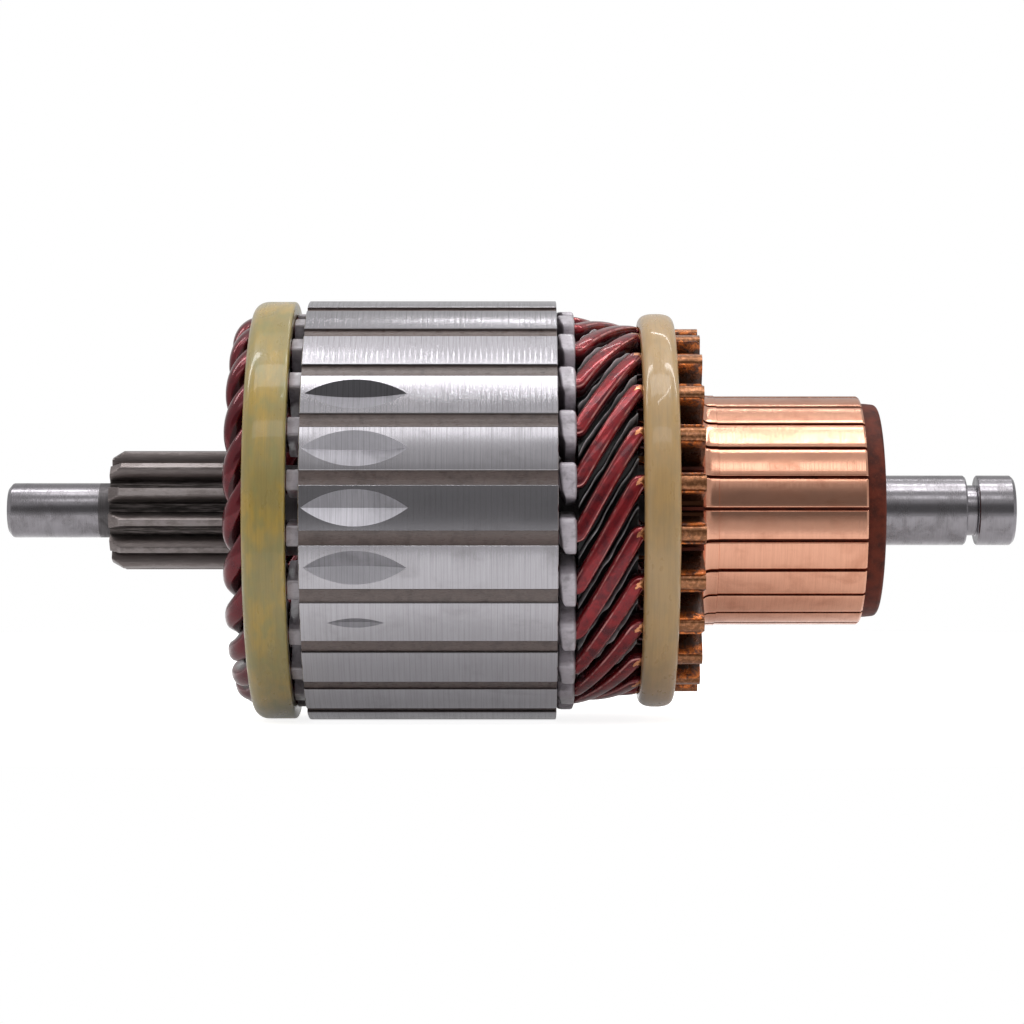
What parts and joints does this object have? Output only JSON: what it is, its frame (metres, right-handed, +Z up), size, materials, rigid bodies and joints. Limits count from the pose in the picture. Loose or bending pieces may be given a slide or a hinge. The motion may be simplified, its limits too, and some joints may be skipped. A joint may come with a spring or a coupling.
{
  "type": "motor armature",
  "caption": "Wound motor armature: laminated core on a shaft with a cut pinion, hairpin winding, banded ends and a copper commutator.",
  "frame": {"origin": "on the shaft's axis at the middle of its length", "axes": "+X along the shaft towards the commutator end, +Z up"},
  "size_m": [0.144, 0.06, 0.06],
  "materials": {
    "shaft_steel": "ground journals, darker unground pinion",
    "core_steel": "turned laminations with fine rings",
    "slot_paper": "satin varnished paper",
    "sleeve_paper": "paper soaked in dark varnish",
    "enamelled_copper": "dark red enamel, bare copper ends",
    "drive_banding": "yellow-green resin and glass",
    "commutator_banding": "cream resin and glass",
    "commutator_copper": "turned copper track, varnished riser",
    "moulded_resin": "red-brown moulded resin"
  },
  "bodies": {
    "root": {"shaft": "shaft_steel", "core_laminations": "core_steel", "slot_liners": "slot_paper", "slot_separators": "slot_paper", "drive_end_layer_sleeve": "sleeve_paper", "commutator_end_layer_sleeve": "sleeve_paper", "drive_end_band": "drive_banding", "commutator_end_band": "commutator_banding", "commutator_moulding": "moulded_resin", "coil_01": "enamelled_copper", "coil_02": "enamelled_copper", "coil_03": "enamelled_copper", "coil_04": "enamelled_copper", "coil_05": "enamelled_copper", "coil_06": "enamelled_copper", "coil_07": "enamelled_copper", "coil_08": "enamelled_copper", "coil_09": "enamelled_copper", "coil_10": "enamelled_copper", "coil_11": "enamelled_copper", "coil_12": "enamelled_copper", "coil_13": "enamelled_copper", "coil_14": "enamelled_copper", "coil_15": "enamelled_copper", "coil_16": "enamelled_copper", "coil_17": "enamelled_copper", "coil_18": "enamelled_copper", "coil_19": "enamelled_copper", "coil_20": "enamelled_copper", "coil_21": "enamelled_copper", "coil_22": "enamelled_copper", "coil_23": "enamelled_copper", "commutator_bar_01": "commutator_copper", "commutator_bar_02": "commutator_copper", "commutator_bar_03": "commutator_copper", "commutator_bar_04": "commutator_copper", "commutator_bar_05": "commutator_copper", "commutator_bar_06": "commutator_copper", "commutator_bar_07": "commutator_copper", "commutator_bar_08": "commutator_copper", "commutator_bar_09": "commutator_copper", "commutator_bar_10": "commutator_copper", "commutator_bar_11": "commutator_copper", "commutator_bar_12": "commutator_copper", "commutator_bar_13": "commutator_copper", "commutator_bar_14": "commutator_copper", "commutator_bar_15": "commutator_copper", "commutator_bar_16": "commutator_copper", "commutator_bar_17": "commutator_copper", "commutator_bar_18": "commutator_copper", "commutator_bar_19": "commutator_copper", "commutator_bar_20": "commutator_copper", "commutator_bar_21": "commutator_copper", "commutator_bar_22": "commutator_copper", "commutator_bar_23": "commutator_copper"}
  },
  "joints": []
}
